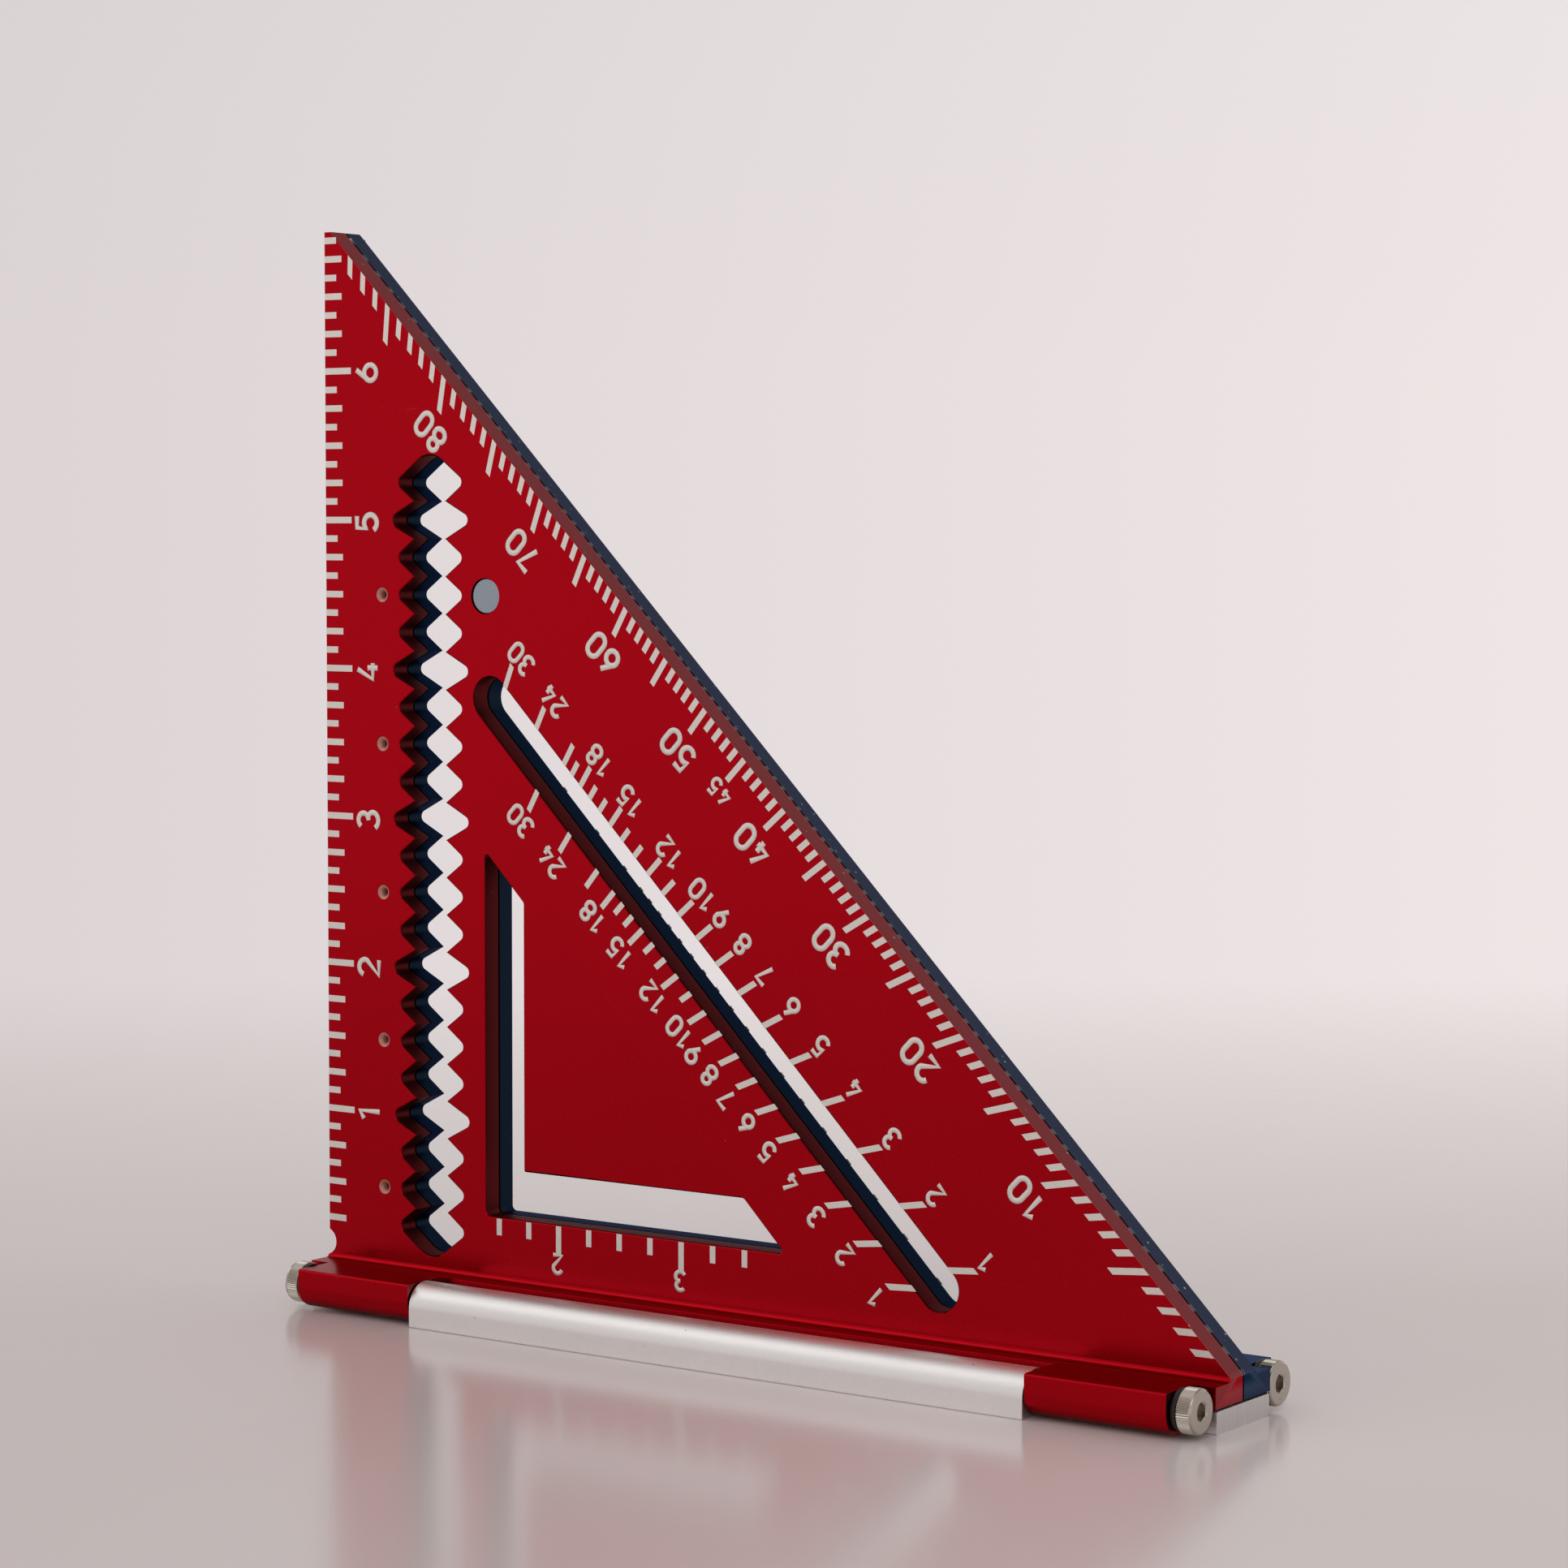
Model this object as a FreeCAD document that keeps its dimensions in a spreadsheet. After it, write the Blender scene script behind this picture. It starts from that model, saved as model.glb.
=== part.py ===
import FreeCAD, Part
import math
import os
import re
import Sketcher

# Folding speed square: two triangular leaves that close back to back and swing down
# to either side of a hinge bar. Units are millimetres, +Z is up, X runs along the
# fence and the origin is at the middle of the bar's underside. The front leaf is on
# the -Y side of the seam plane Y = 0 and the rear leaf mirrors it on the +Y side.

doc = FreeCAD.newDocument("folding_speed_square")

SAME_POINT = 1e-6
SAME_PLACE = 1e-4

# ---------------------------------------------------------------- driving dimensions
DIMENSIONS = {
    # triangular web
    "leg": 177.8,              # seven inches along each leg of the triangle
    "inch": 25.4,
    "pivot_height": 7.9,       # height of the pivot corner above the table
    "web_outer": 3.8,          # seam plane to a leaf's marked face
    "seam_gap": 0.2,           # seam plane to a leaf's inner face
    "tip_flat": 1.7,           # blunt width of the top corner
    "notch_rad": 2.3,          # half-round relief beside the pivot corner
    "notch_inset": 0.65,
    "notch_rise": 2.0,
    # foot and hinge barrels of a leaf
    "foot_bottom": 3.85,
    "foot_top": 7.2,
    "ledge_reach": 7.4,        # seam plane to the foot's edge beside the bar
    "end_reach": 8.4,          # seam plane to the foot's edge beside a screw head
    "root_rad": 0.8,           # hollow corner between web and foot
    "pin_offset": 12.1,        # seam plane to a pivot axis
    "pin_height": 4.2,
    "knuckle_reach": 4.1,      # pivot axis to the outer flat of a knuckle
    "barrel_rad": 3.75,        # rounded underside of a leaf's barrel
    "barrel_corner": 0.4,
    "bore_rad": 2.05,
    # lengths along the hinge, from the middle of the tool
    "bar_knuckle_half": 60.2,
    "barrel_start": 60.5,
    "barrel_end": 84.9,
    "washer_start": 85.1,
    "washer_end": 85.9,
    "head_face": 88.7,
    # hinge bar
    "core_half": 8.1,
    "core_height": 3.5,
    "knuckle_inner": 4.1,      # pivot axis to the bar knuckle's inner side
    "knuckle_top": 7.3,
    "crown_flat": 0.02,        # what is left flat on top of the rounded knuckle
    "bar_edge": 0.3,
    "thread_depth": 16.0,
    "thread_gap": 0.02,
    # pivot screws and washers
    "shank_rad": 2.0,
    "shank_length": 40.0,
    "head_rad": 3.5,
    "head_edge": 0.35,
    "socket_flats": 2.5,
    "socket_depth": 1.6,
    "washer_rad": 3.3,
    # openings of a leaf, measured from the pivot corner
    "scribe_x": 23.3,          # centre line of the notched scribing slot
    "scribe_pitch": 6.35,
    "scribe_count": 21,
    "waist_half": 3.25,
    "notch_half": 7.55,
    "inch_notch_half": 9.4,
    "inch_count": 5,
    "notch_tip": 1.1,
    "scribe_end": 5.575,       # where the end notches' slanted sides would meet
    "scribe_end_rad": 4.6,
    "slot_top_x": 36.4,
    "slot_top_z": 97.2,
    "slot_low_x": 126.1,
    "slot_low_z": 7.5,
    "slot_rad": 3.55,
    "window_left": 35.1,
    "window_limb": 8.2,
    "window_base": 9.9,
    "window_slant": 106.6,     # x + z of the window's two slanted ends
    "window_rad": 0.9,
    "window_point_rad": 0.45,
    "window_elbow_rad": 0.3,
    "hole_x": 12.7,
    "hole_rad": 0.6,
    "hole_rim": 0.6,
    "magnet_x": 35.4,
    "magnet_z": 114.3,
    "magnet_hole": 3.03,
    "magnet_rad": 3.0,
    "magnet_back": 0.3,        # seam plane to the magnet
    "magnet_front": 3.5,
    "edge_break": 0.2,
    "opening_break": 0.3,
}

SHEET_NAMES = {alias: "Sizes." + alias for alias in DIMENSIONS}

sheet = doc.addObject("Spreadsheet::Sheet", "Sizes")
for row, (alias, value) in enumerate(DIMENSIONS.items(), start=1):
    sheet.set("A%d" % row, alias)
    sheet.set("B%d" % row, str(value))
    sheet.setAlias("B%d" % row, alias)
doc.recompute()


def value_of(expression):
    """Work out an expression of sheet aliases, for a sketch's first geometry."""
    helper = doc.getObject("Sizes")
    return float(helper.evalExpression(bound(expression)))


def bound(expression):
    """Write the sheet's name before each alias in an expression."""
    return re.sub(r"[a-z_]+", lambda word: SHEET_NAMES.get(word.group(), word.group()),
                  expression)


# ---------------------------------------------------------------- sketch helpers
def new_sketch(body, name, role, offset="0"):
    """Attach a sketch to one of the body's own planes, moved along its normal."""
    sketch = body.newObject("Sketcher::SketchObject", name)
    plane = [f for f in body.Origin.OriginFeatures if f.Role == role][0]
    sketch.AttachmentSupport = [(plane, "")]
    sketch.MapMode = "FlatFace"
    sketch.setExpression("AttachmentOffset.Base.z", bound(offset))
    return sketch


def place_point(sketch, geometry, position, across, up):
    """Tie one point of a sketch to two expressions."""
    for kind, expression in (("DistanceX", across), ("DistanceY", up)):
        index = sketch.addConstraint(
            Sketcher.Constraint(kind, -1, 1, geometry, position, value_of(expression)))
        sketch.setExpression("Constraints[%d]" % index, bound(expression))


def draw_circle(sketch, across, up, radius):
    """Draw a circle with a bound centre and radius."""
    centre = FreeCAD.Vector(value_of(across), value_of(up), 0)
    normal = FreeCAD.Vector(0, 0, 1)
    index = sketch.addGeometry(Part.Circle(centre, normal, value_of(radius)), False)
    place_point(sketch, index, 3, across, up)
    ring = sketch.addConstraint(Sketcher.Constraint("Radius", index, value_of(radius)))
    sketch.setExpression("Constraints[%d]" % ring, bound(radius))


def draw_round_slot(sketch, first, second, radius):
    """Draw a round-ended slot between two bound end centres."""
    middles = [FreeCAD.Vector(value_of(p[0]), value_of(p[1]), 0) for p in (first, second)]
    size = value_of(radius)
    along = (middles[1] - middles[0]).normalize()
    across = FreeCAD.Vector(-along.y, along.x, 0) * size
    caps = []
    for middle, outwards in ((middles[0], along * -size), (middles[1], along * size)):
        cap = Part.Arc(middle + across, middle + outwards, middle - across)
        caps.append(sketch.addGeometry(cap, False))
    for sign in (1, -1):
        line = sketch.addGeometry(
            Part.LineSegment(middles[0] + across * sign, middles[1] + across * sign), False)
        for end, cap in ((1, caps[0]), (2, caps[1])):
            tip = sketch.getPoint(line, end)
            cap_end = 1 if (sketch.getPoint(cap, 1) - tip).Length < SAME_POINT else 2
            sketch.addConstraint(Sketcher.Constraint("Tangent", line, end, cap, cap_end))
    place_point(sketch, caps[0], 3, *first)
    place_point(sketch, caps[1], 3, *second)
    sketch.addConstraint(Sketcher.Constraint("Equal", caps[0], caps[1]))
    ring = sketch.addConstraint(Sketcher.Constraint("Radius", caps[0], size))
    sketch.setExpression("Constraints[%d]" % ring, bound(radius))


def draw_outline(sketch, corners):
    """Draw a closed outline of straight sides, from corners of (across, up, radius)."""
    count = len(corners)
    sharp = [FreeCAD.Vector(value_of(c[0]), value_of(c[1]), 0) for c in corners]
    starts, ends, arcs = [], [], []
    for i, corner in enumerate(corners):
        radius = value_of(corner[2]) if len(corner) > 2 else 0.0
        here = sharp[i]
        back = (sharp[i - 1] - here).normalize()
        ahead = (sharp[(i + 1) % count] - here).normalize()
        if radius == 0.0:
            starts.append(here)
            ends.append(here)
            arcs.append(None)
            continue
        half = math.acos(max(-1.0, min(1.0, back.dot(ahead)))) / 2
        reach = radius / math.tan(half)
        entry, leave = here + back * reach, here + ahead * reach
        centre = here + (back + ahead).normalize() * (radius / math.sin(half))
        middle = centre + (here - centre).normalize() * radius
        starts.append(leave)
        ends.append(entry)
        arcs.append(Part.Arc(entry, middle, leave))
    lines = [sketch.addGeometry(Part.LineSegment(starts[i], ends[(i + 1) % count]), False)
             for i in range(count)]
    for i, corner in enumerate(corners):
        before, after = lines[i - 1], lines[i]
        if arcs[i] is None:
            sketch.addConstraint(Sketcher.Constraint("Coincident", before, 2, after, 1))
            place_point(sketch, after, 1, corner[0], corner[1])
            continue
        arc = sketch.addGeometry(arcs[i], False)
        begin, finish = 1, 2
        if (sketch.getPoint(arc, 1) - ends[i]).Length > SAME_POINT:
            begin, finish = 2, 1
        sketch.addConstraint(Sketcher.Constraint("Tangent", before, 2, arc, begin))
        sketch.addConstraint(Sketcher.Constraint("Tangent", arc, finish, after, 1))
        rounding = sketch.addConstraint(
            Sketcher.Constraint("Radius", arc, value_of(corner[2])))
        sketch.setExpression("Constraints[%d]" % rounding, bound(corner[2]))
        mark = sketch.addGeometry(Part.Point(sharp[i]), True)
        sketch.addConstraint(Sketcher.Constraint("PointOnObject", mark, 1, before))
        sketch.addConstraint(Sketcher.Constraint("PointOnObject", mark, 1, after))
        place_point(sketch, mark, 1, corner[0], corner[1])


# ---------------------------------------------------------------- feature helpers
def new_body(name):
    """Start a sub-part."""
    body = doc.addObject("PartDesign::Body", name)
    body.Label = name
    return body


def checked(body, feature, volume_change):
    """Recompute and make sure that a feature added (+1) or removed (-1) material."""
    before = body.Shape.Volume if not body.Shape.isNull() else 0.0
    body.Tip = feature
    doc.recompute()
    gained = feature.Shape.Volume - before
    if gained * volume_change <= SAME_POINT:
        raise RuntimeError("%s changed the volume by %.3f" % (feature.Name, gained))
    return feature


def pad(body, sketch, length, towards=1):
    """Extrude a sketch along its plane's normal, or against it."""
    feature = body.newObject("PartDesign::Pad", sketch.Name + "_pad")
    feature.Profile = sketch
    feature.setExpression("Length", bound(length))
    feature.Reversed = towards < 0
    sketch.Visibility = False
    return checked(body, feature, 1)


def cut_through(body, sketch):
    """Cut a sketch right through the body, both ways."""
    feature = body.newObject("PartDesign::Pocket", sketch.Name + "_cut")
    feature.Profile = sketch
    feature.Type = 1
    feature.Midplane = True
    return checked(body, feature, -1)


def cut_depth(body, sketch, depth):
    """Cut a sketch against its plane's normal to a depth."""
    feature = body.newObject("PartDesign::Pocket", sketch.Name + "_cut")
    feature.Profile = sketch
    feature.setExpression("Length", bound(depth))
    return checked(body, feature, -1)


def mirror(body, originals, role, volume_change):
    """Mirror features about one of the body's own planes."""
    feature = body.newObject("PartDesign::Mirrored", originals[0].Name + "_mirrored")
    plane = [f for f in body.Origin.OriginFeatures if f.Role == role][0]
    feature.Originals = originals
    feature.MirrorPlane = (plane, [""])
    return checked(body, feature, volume_change)


def repeat_upwards(body, original, length, count):
    """Repeat a cut up the leaf at even steps."""
    feature = body.newObject("PartDesign::LinearPattern", original.Name + "_row")
    axis = [f for f in body.Origin.OriginFeatures if f.Role == "Z_Axis"][0]
    feature.Originals = [original]
    feature.Direction = (axis, [""])
    feature.setExpression("Length", bound(length))
    feature.setExpression("Occurrences", bound(count))
    return checked(body, feature, -1)


def edge_names(shape, test):
    """Name the edges of a shape that pass a test."""
    return ["Edge%d" % (i + 1) for i, edge in enumerate(shape.Edges) if test(edge)]


def dress_edges(body, kind, test, size, volume_change):
    """Fillet or chamfer the edges of the body's last feature that pass a test."""
    base = body.Tip
    names = edge_names(base.Shape, test)
    feature = body.newObject("PartDesign::" + kind, "%s_%s" % (body.Name, size))
    feature.Base = (base, names)
    feature.setExpression("Radius" if kind == "Fillet" else "Size", bound(size))
    return checked(body, feature, volume_change)


# ---------------------------------------------------------------- the two leaves
def from_pivot(along):
    """Turn a distance from the pivot corner into an X expression."""
    return "%s - leg / 2" % along


def above_pivot(rise):
    """Turn a rise above the pivot corner into a Z expression."""
    return "%s + pivot_height" % rise


def draw_web(body, side):
    """Pad the triangular web between its inner and its marked face."""
    sketch = new_sketch(body, body.Name + "_web", "XZ_Plane", "%d * seam_gap" % -side)
    draw_outline(sketch, [
        (from_pivot("0"), "foot_bottom"),
        (from_pivot("leg"), "foot_bottom"),
        (from_pivot("leg"), "pivot_height"),
        (from_pivot("tip_flat"), above_pivot("leg - tip_flat")),
        (from_pivot("0"), above_pivot("leg - tip_flat")),
    ])
    pad(body, sketch, "web_outer - seam_gap", -side)


def draw_foot(body, side):
    """Pad the foot, its deeper ends and the two hinge barrels."""
    def foot_block(name, reach, start, length):
        sketch = new_sketch(body, body.Name + name, "YZ_Plane", start)
        draw_outline(sketch, [
            ("%d * seam_gap" % side, "foot_bottom"),
            ("%d * %s" % (side, reach), "foot_bottom"),
            ("%d * %s" % (side, reach), "foot_top"),
            ("%d * seam_gap" % side, "foot_top"),
        ])
        return pad(body, sketch, length)

    foot_block("_ledge", "ledge_reach", from_pivot("0"), "leg")
    block = foot_block("_block", "end_reach", "barrel_start", "leg / 2 - barrel_start")
    sketch = new_sketch(body, body.Name + "_barrel", "YZ_Plane", "barrel_start")
    inner = "%d * ( pin_offset - barrel_rad )" % side
    outer = "%d * ( pin_offset + knuckle_reach )" % side
    overlap = "%d * ( ledge_reach - root_rad )" % side
    draw_outline(sketch, [
        (overlap, "foot_top"),
        (outer, "foot_top", "barrel_corner"),
        (outer, "pin_height - barrel_rad", "barrel_rad"),
        (inner, "pin_height - barrel_rad", "barrel_rad"),
        (inner, "foot_top - root_rad"),
        (overlap, "foot_top - root_rad"),
    ])
    barrel = pad(body, sketch, "barrel_end - barrel_start")
    mirror(body, [block, barrel], "YZ_Plane", 1)
    bore = new_sketch(body, body.Name + "_bore", "YZ_Plane")
    draw_circle(bore, "%d * pin_offset" % side, "pin_height", "bore_rad")
    cut_through(body, bore)


def draw_scribing_slot(body):
    """Cut the chain of diamond notches, a wide one at each inch."""
    def notch_cell(name, half, pitch):
        sketch = new_sketch(body, body.Name + name, "XZ_Plane")
        rise, drop = "%s + scribe_pitch / 2" % pitch, "%s - scribe_pitch / 2" % pitch
        draw_outline(sketch, [
            (from_pivot("scribe_x - %s" % half), above_pivot(pitch), "notch_tip"),
            (from_pivot("scribe_x - waist_half"), above_pivot(drop)),
            (from_pivot("scribe_x + waist_half"), above_pivot(drop)),
            (from_pivot("scribe_x + %s" % half), above_pivot(pitch), "notch_tip"),
            (from_pivot("scribe_x + waist_half"), above_pivot(rise)),
            (from_pivot("scribe_x - waist_half"), above_pivot(rise)),
        ])
        return cut_through(body, sketch)

    cell = notch_cell("_quarter", "notch_half", "scribe_pitch")
    repeat_upwards(body, cell, "( scribe_count - 1 ) * scribe_pitch", "scribe_count")
    cell = notch_cell("_inch", "inch_notch_half", "inch")
    repeat_upwards(body, cell, "( inch_count - 1 ) * inch", "inch_count")
    for name, level, turn in (("_foot_end", "scribe_pitch", "-"),
                              ("_top_end", "scribe_count * scribe_pitch", "+")):
        sketch = new_sketch(body, body.Name + name, "XZ_Plane")
        waist = "%s %s scribe_pitch / 2" % (level, turn)
        draw_outline(sketch, [
            (from_pivot("scribe_x - waist_half"), above_pivot(level)),
            (from_pivot("scribe_x - waist_half"), above_pivot(waist)),
            (from_pivot("scribe_x"), above_pivot("%s %s scribe_end" % (level, turn)),
             "scribe_end_rad"),
            (from_pivot("scribe_x + waist_half"), above_pivot(waist)),
            (from_pivot("scribe_x + waist_half"), above_pivot(level)),
        ])
        cut_through(body, sketch)


def draw_rafter_slot(body):
    """Cut the round-ended slot that runs parallel to the long edge."""
    sketch = new_sketch(body, body.Name + "_slot", "XZ_Plane")
    draw_round_slot(sketch,
                    (from_pivot("slot_top_x"), above_pivot("slot_top_z")),
                    (from_pivot("slot_low_x"), above_pivot("slot_low_z")),
                    "slot_rad")
    cut_through(body, sketch)


def draw_window(body):
    """Cut the L-shaped window with both ends parallel to the long edge."""
    sketch = new_sketch(body, body.Name + "_window", "XZ_Plane")
    right, top = "window_left + window_limb", "window_base + window_limb"
    draw_outline(sketch, [
        (from_pivot("window_left"), above_pivot("window_base"), "window_rad"),
        (from_pivot("window_slant - window_base"), above_pivot("window_base"),
         "window_point_rad"),
        (from_pivot("window_slant - ( %s )" % top), above_pivot(top), "window_rad"),
        (from_pivot(right), above_pivot(top), "window_elbow_rad"),
        (from_pivot(right), above_pivot("window_slant - ( %s )" % right), "window_rad"),
        (from_pivot("window_left"), above_pivot("window_slant - window_left"),
         "window_point_rad"),
    ])
    cut_through(body, sketch)


def draw_holes(body):
    """Cut the pivot notch, the magnet's seat and the five marking holes."""
    sketch = new_sketch(body, body.Name + "_notch", "XZ_Plane")
    draw_circle(sketch, from_pivot("- notch_inset"), above_pivot("notch_rise"), "notch_rad")
    cut_through(body, sketch)
    sketch = new_sketch(body, body.Name + "_magnet_seat", "XZ_Plane")
    draw_circle(sketch, from_pivot("magnet_x"), above_pivot("magnet_z"), "magnet_hole")
    cut_through(body, sketch)
    sketch = new_sketch(body, body.Name + "_marking_hole", "XZ_Plane")
    draw_circle(sketch, from_pivot("hole_x"), above_pivot("inch / 2"), "hole_rad")
    hole = cut_through(body, sketch)
    repeat_upwards(body, hole, "( inch_count - 1 ) * inch", "inch_count")


def break_edges(body, side):
    """Countersink the marking holes and break the sharp edges of the marked face."""
    face_y = side * value_of("web_outer")
    left_x = value_of(from_pivot("0"))
    long_sum = left_x + value_of(above_pivot("leg"))
    root_z = value_of("foot_top + root_rad")
    margin = value_of("hole_rim")

    def on_face(edge):
        return all(abs(v.Y - face_y) < SAME_PLACE for v in edge.Vertexes)

    def has_radius(edge, alias):
        return (isinstance(edge.Curve, Part.Circle)
                and abs(edge.Curve.Radius - value_of(alias)) < SAME_PLACE)

    def is_rim(edge):
        return on_face(edge) and has_radius(edge, "hole_rad")

    def is_long(edge):
        if not on_face(edge) or not isinstance(edge.Curve, Part.Line):
            return False
        ends = [v.Point for v in edge.Vertexes]
        return (all(abs(p.x + p.z - long_sum) < SAME_PLACE for p in ends)
                or all(abs(p.x - left_x) < SAME_PLACE for p in ends))

    def is_opening(edge):
        if not on_face(edge) or has_radius(edge, "magnet_hole"):
            return False
        ends = [v.Point for v in edge.Vertexes]
        return (all(p.x - left_x > value_of("hole_x") for p in ends)
                and all(p.z - root_z > margin for p in ends)
                and all(long_sum - p.x - p.z > margin for p in ends))

    dress_edges(body, "Chamfer", is_rim, "hole_rim", -1)
    dress_edges(body, "Chamfer", is_long, "edge_break", -1)
    dress_edges(body, "Chamfer", is_opening, "opening_break", -1)


def make_leaf(name, side):
    """Build one leaf on the given side of the seam plane."""
    body = new_body(name)
    draw_web(body, side)
    draw_foot(body, side)
    root_y, root_z = side * value_of("web_outer"), value_of("foot_top")

    def is_root(edge):
        return all(abs(v.Y - root_y) < SAME_PLACE and abs(v.Z - root_z) < SAME_PLACE
                   for v in edge.Vertexes)

    dress_edges(body, "Fillet", is_root, "root_rad", 1)
    draw_scribing_slot(body)
    draw_rafter_slot(body)
    draw_window(body)
    draw_holes(body)
    break_edges(body, side)
    return body


leaves = [make_leaf("front_leaf", -1), make_leaf("rear_leaf", 1)]


# ---------------------------------------------------------------- hinge bar
def make_bar():
    """Build the bar: a flat core with a long knuckle on each side."""
    body = new_body("hinge_bar")
    core = new_sketch(body, "bar_core", "YZ_Plane", from_pivot("0"))
    draw_outline(core, [
        ("- core_half", "0", "bar_edge"),
        ("core_half", "0", "bar_edge"),
        ("core_half", "core_height", "bar_edge"),
        ("- core_half", "core_height", "bar_edge"),
    ])
    pad(body, core, "leg")
    sketch = new_sketch(body, "bar_knuckle", "YZ_Plane", "- bar_knuckle_half")
    inner, outer = "pin_offset - knuckle_inner", "pin_offset + knuckle_reach"
    crown = "( knuckle_inner + knuckle_reach - crown_flat ) / 2"
    draw_outline(sketch, [
        (inner, "0"),
        (outer, "0", "bar_edge"),
        (outer, "knuckle_top", crown),
        (inner, "knuckle_top", crown),
    ])
    knuckle = pad(body, sketch, "2 * bar_knuckle_half")
    mirror(body, [knuckle], "XZ_Plane", 1)
    sketch = new_sketch(body, "bar_thread", "YZ_Plane", "bar_knuckle_half")
    for sign in ("", "- "):
        draw_circle(sketch, sign + "pin_offset", "pin_height", "shank_rad + thread_gap")
    thread = cut_depth(body, sketch, "thread_depth")
    mirror(body, [thread], "YZ_Plane", -1)
    return body


bar = make_bar()


# ---------------------------------------------------------------- screws and washers
def stand_at(body, distance, end, side):
    """Place a piece on a pivot axis at one end of the tool, facing outwards."""
    body.Placement = FreeCAD.Placement(
        FreeCAD.Vector(end * value_of(distance), side * value_of("pin_offset"),
                       value_of("pin_height")),
        FreeCAD.Rotation(FreeCAD.Vector(0, 0, 1), 0 if end > 0 else 180))
    body.setExpression("Placement.Base.x", bound("%d * %s" % (end, distance)))
    body.setExpression("Placement.Base.y", bound("%d * pin_offset" % side))
    body.setExpression("Placement.Base.z", bound("pin_height"))


def make_screw(name, end, side):
    """Build a low-head socket screw whose face is at its own origin."""
    body = new_body(name)
    sketch = new_sketch(body, name + "_profile", "XZ_Plane")
    under_head = "washer_end - head_face"
    tip = "%s - shank_length" % under_head
    draw_outline(sketch, [
        ("0", "0"),
        ("0", "head_rad - head_edge"),
        ("- head_edge", "head_rad"),
        (under_head, "head_rad"),
        (under_head, "shank_rad"),
        ("%s + head_edge" % tip, "shank_rad"),
        (tip, "shank_rad - head_edge"),
        (tip, "0"),
    ])
    turned = body.newObject("PartDesign::Revolution", name + "_turned")
    turned.Profile = sketch
    turned.ReferenceAxis = (sketch, ["H_Axis"])
    turned.Angle = 360
    checked(body, turned, 1)
    sketch = new_sketch(body, name + "_socket", "YZ_Plane")
    corner = "socket_flats / sqrt(3)"
    draw_outline(sketch, [
        ("0", corner),
        ("- socket_flats / 2", "( %s ) / 2" % corner),
        ("- socket_flats / 2", "- ( %s ) / 2" % corner),
        ("0", "- ( %s )" % corner),
        ("socket_flats / 2", "- ( %s ) / 2" % corner),
        ("socket_flats / 2", "( %s ) / 2" % corner),
    ])
    cut_depth(body, sketch, "socket_depth")
    stand_at(body, "head_face", end, side)
    return body


def make_washer(name, end, side):
    """Build a plain washer whose outer face is at its own origin."""
    body = new_body(name)
    sketch = new_sketch(body, name + "_ring", "YZ_Plane")
    draw_circle(sketch, "0", "0", "washer_rad")
    draw_circle(sketch, "0", "0", "bore_rad")
    pad(body, sketch, "washer_end - washer_start", -1)
    stand_at(body, "washer_end", end, side)
    return body


hardware = []
for side_name, side in (("front", -1), ("rear", 1)):
    for end_name, end in (("left", -1), ("right", 1)):
        hardware.append(make_screw("%s_%s_screw" % (side_name, end_name), end, side))
        hardware.append(make_washer("%s_%s_washer" % (side_name, end_name), end, side))


# ---------------------------------------------------------------- magnets
def make_magnet(name, side):
    """Build the disc magnet that sits in a leaf's seat."""
    body = new_body(name)
    sketch = new_sketch(body, name + "_disc", "XZ_Plane", "%d * magnet_back" % -side)
    draw_circle(sketch, from_pivot("magnet_x"), above_pivot("magnet_z"), "magnet_rad")
    pad(body, sketch, "magnet_front - magnet_back", -side)
    return body


magnets = [make_magnet("front_magnet", -1), make_magnet("rear_magnet", 1)]


# ---------------------------------------------------------------- checks and export
doc.recompute()
for item in doc.Objects:
    if "Invalid" in item.State or "Error" in item.State:
        raise RuntimeError("%s failed: %s" % (item.Name, item.State))

os.makedirs("parts", exist_ok=True)
for body in leaves + [bar] + hardware + magnets:
    shape = body.Shape
    if shape.isNull() or not shape.isValid() or len(shape.Solids) != 1:
        raise RuntimeError("%s has no single valid solid" % body.Label)
    shape.exportStep("parts/%s.step" % body.Label)
    box = shape.BoundBox
    print("%-20s volume %9.1f  x %7.2f..%7.2f  y %6.2f..%6.2f  z %6.2f..%6.2f" % (
        body.Label, shape.Volume, box.XMin, box.XMax, box.YMin, box.YMax, box.ZMin, box.ZMax))
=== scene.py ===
"""Folding speed square: two anodised leaves hinged on a silver fence bar.

Lengths are written in millimetres and turned into metres by MM. +Z is up, X runs
along the fence, and the seam between the leaves is the plane Y = 0.
"""

from __future__ import annotations

import logging
import math
from dataclasses import dataclass, field
from enum import Enum

import bmesh
import bpy
from mathutils import Matrix, Vector

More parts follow.
